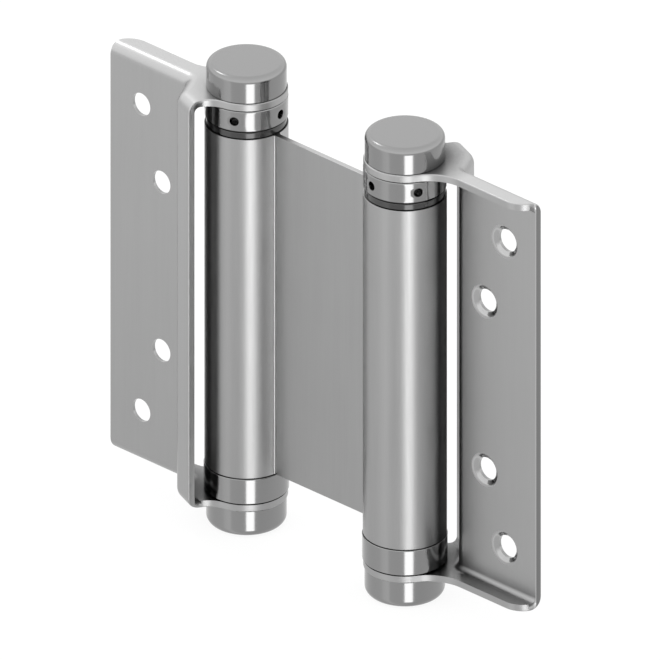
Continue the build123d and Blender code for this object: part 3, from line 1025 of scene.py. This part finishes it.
def make_softbox(name, studio):
    """A square area lamp that faces the hinge, and draws the thin bright lines along rims and bends."""
    towards = np.array((-0.62, 0.0, 0.79))
    distance = 1.1
    width = 0.18
    lamp = bpy.data.lights.new(name, "AREA")
    lamp.shape = "SQUARE"
    lamp.size = width
    lamp.energy = studio.lamp_power
    made = bpy.data.objects.new(name, lamp)
    bpy.context.scene.collection.objects.link(made)
    made.location = towards / np.linalg.norm(towards) * distance
    made.rotation_euler = made.location.to_track_quat("Z", "Y").to_euler()


def make_camera(scene):
    """A parallel camera at the photograph's angle."""
    studio = scene.hinge_studio
    back = np.array([
        math.sin(studio.azimuth) * math.cos(studio.elevation),
        -math.cos(studio.azimuth) * math.cos(studio.elevation),
        math.sin(studio.elevation),
    ])
    right = np.array([math.cos(studio.azimuth), math.sin(studio.azimuth), 0])
    up = np.cross(back, right)
    data = bpy.data.cameras.new("Camera")
    data.type = "ORTHO"
    data.ortho_scale = studio.view_width
    data.clip_end = 10.0
    made = bpy.data.objects.new("Camera", data)
    scene.collection.objects.link(made)
    made.location = back * studio.camera_distance + right * studio.view_right + up * studio.view_up
    made.rotation_euler = (math.pi / 2 - studio.elevation, 0, studio.azimuth)
    scene.camera = made


class HINGE_OT_centre_plate(Operator):
    """Roll the web and both barrels"""

    bl_idname = "hinge.centre_plate"
    bl_label = "Centre plate"

    def execute(self, context):
        make_centre_plate(context.scene.hinge_sizes, finishes()["centre_plate_steel"])
        return {"FINISHED"}


class HINGE_OT_leaves(Operator):
    """Make both pressed leaves"""

    bl_idname = "hinge.leaves"
    bl_label = "Leaves"

    def execute(self, context):
        for side in sides:
            make_leaf(side, context.scene.hinge_sizes, finishes()["leaf_steel"])
        return {"FINISHED"}


class HINGE_OT_caps(Operator):
    """Turn the four caps"""

    bl_idname = "hinge.caps"
    bl_label = "Caps"

    def execute(self, context):
        for side in sides:
            for end in ("top", "bottom"):
                make_cap(side, end, context.scene.hinge_sizes, finishes()["turned_steel"])
        return {"FINISHED"}


class HINGE_OT_collars(Operator):
    """Turn the tension collars and the bottom collars"""

    bl_idname = "hinge.collars"
    bl_label = "Collars"

    def execute(self, context):
        for side in sides:
            make_tension_collar(side, context.scene.hinge_sizes, finishes()["turned_steel"])
            make_bottom_collar(side, context.scene.hinge_sizes, finishes()["turned_steel"])
        return {"FINISHED"}


class HINGE_OT_rings(Operator):
    """Make the wear rings and the thrust washers"""

    bl_idname = "hinge.rings"
    bl_label = "Rings and washers"

    def execute(self, context):
        for side in sides:
            make_wear_ring(side, context.scene.hinge_sizes, finishes()["wear_ring_plastic"])
            for end in ("top", "bottom"):
                make_washer(side, end, context.scene.hinge_sizes, finishes()["washer_plastic"])
        return {"FINISHED"}


class HINGE_OT_inner_pieces(Operator):
    """Finish the spindles, springs and bushes, which keep their CAD shape"""

    bl_idname = "hinge.inner_pieces"
    bl_label = "Spindles, springs and bushes"

    def execute(self, context):
        for side in sides:
            for piece in ("spindle", "spring", "top_bush", "bottom_bush"):
                node = f"{side}_{piece}"
                slots = frame["nodes"][node].data.materials
                slots.clear()
                slots.append(finishes()[slot_of_node[node]])
        return {"FINISHED"}


class HINGE_OT_studio(Operator):
    """Set up the floor, backdrop, lamps and camera"""

    bl_idname = "hinge.studio"
    bl_label = "Studio"

    def execute(self, context):
        scene = context.scene
        scene.view_settings.view_transform = "Standard"
        make_world(scene)
        make_floor()
        make_softbox("softbox_overhead", scene.hinge_studio)
        make_camera(scene)
        return {"FINISHED"}


class HINGE_PT_panel(Panel):
    """Sizes, finishes and steps of the hinge"""

    bl_idname = "HINGE_PT_panel"
    bl_label = "Saloon hinge"
    bl_space_type = "VIEW_3D"
    bl_region_type = "UI"
    bl_category = "Hinge"

    def draw(self, context):
        scene = context.scene
        for step in steps:
            self.layout.operator(step.bl_idname)
        for settings in (scene.hinge_sizes, scene.hinge_finish, scene.hinge_studio):
            box = self.layout.box()
            for name in settings.bl_rna.properties.keys():
                if name not in ("rna_type", "name"):
                    box.prop(settings, name)


steps = (
    HINGE_OT_centre_plate,
    HINGE_OT_leaves,
    HINGE_OT_caps,
    HINGE_OT_collars,
    HINGE_OT_rings,
    HINGE_OT_inner_pieces,
    HINGE_OT_studio,
)
settings_groups = {"hinge_sizes": HingeSizes, "hinge_finish": HingeFinish, "hinge_studio": HingeStudio}


def register():
    """Register the settings, the steps and the panel."""
    for name, group in settings_groups.items():
        bpy.utils.register_class(group)
        setattr(bpy.types.Scene, name, PointerProperty(type=group))
    for step in steps:
        bpy.utils.register_class(step)
    bpy.utils.register_class(HINGE_PT_panel)


def unregister():
    """Remove what register made."""
    bpy.utils.unregister_class(HINGE_PT_panel)
    for step in reversed(steps):
        bpy.utils.unregister_class(step)
    for name, group in settings_groups.items():
        delattr(bpy.types.Scene, name)
        bpy.utils.unregister_class(group)


def main():
    """Build every piece in order."""
    register()
    bpy.ops.hinge.centre_plate()
    bpy.ops.hinge.leaves()
    bpy.ops.hinge.caps()
    bpy.ops.hinge.collars()
    bpy.ops.hinge.rings()
    bpy.ops.hinge.inner_pieces()
    bpy.ops.hinge.studio()


if __name__ == "__main__":
    main()
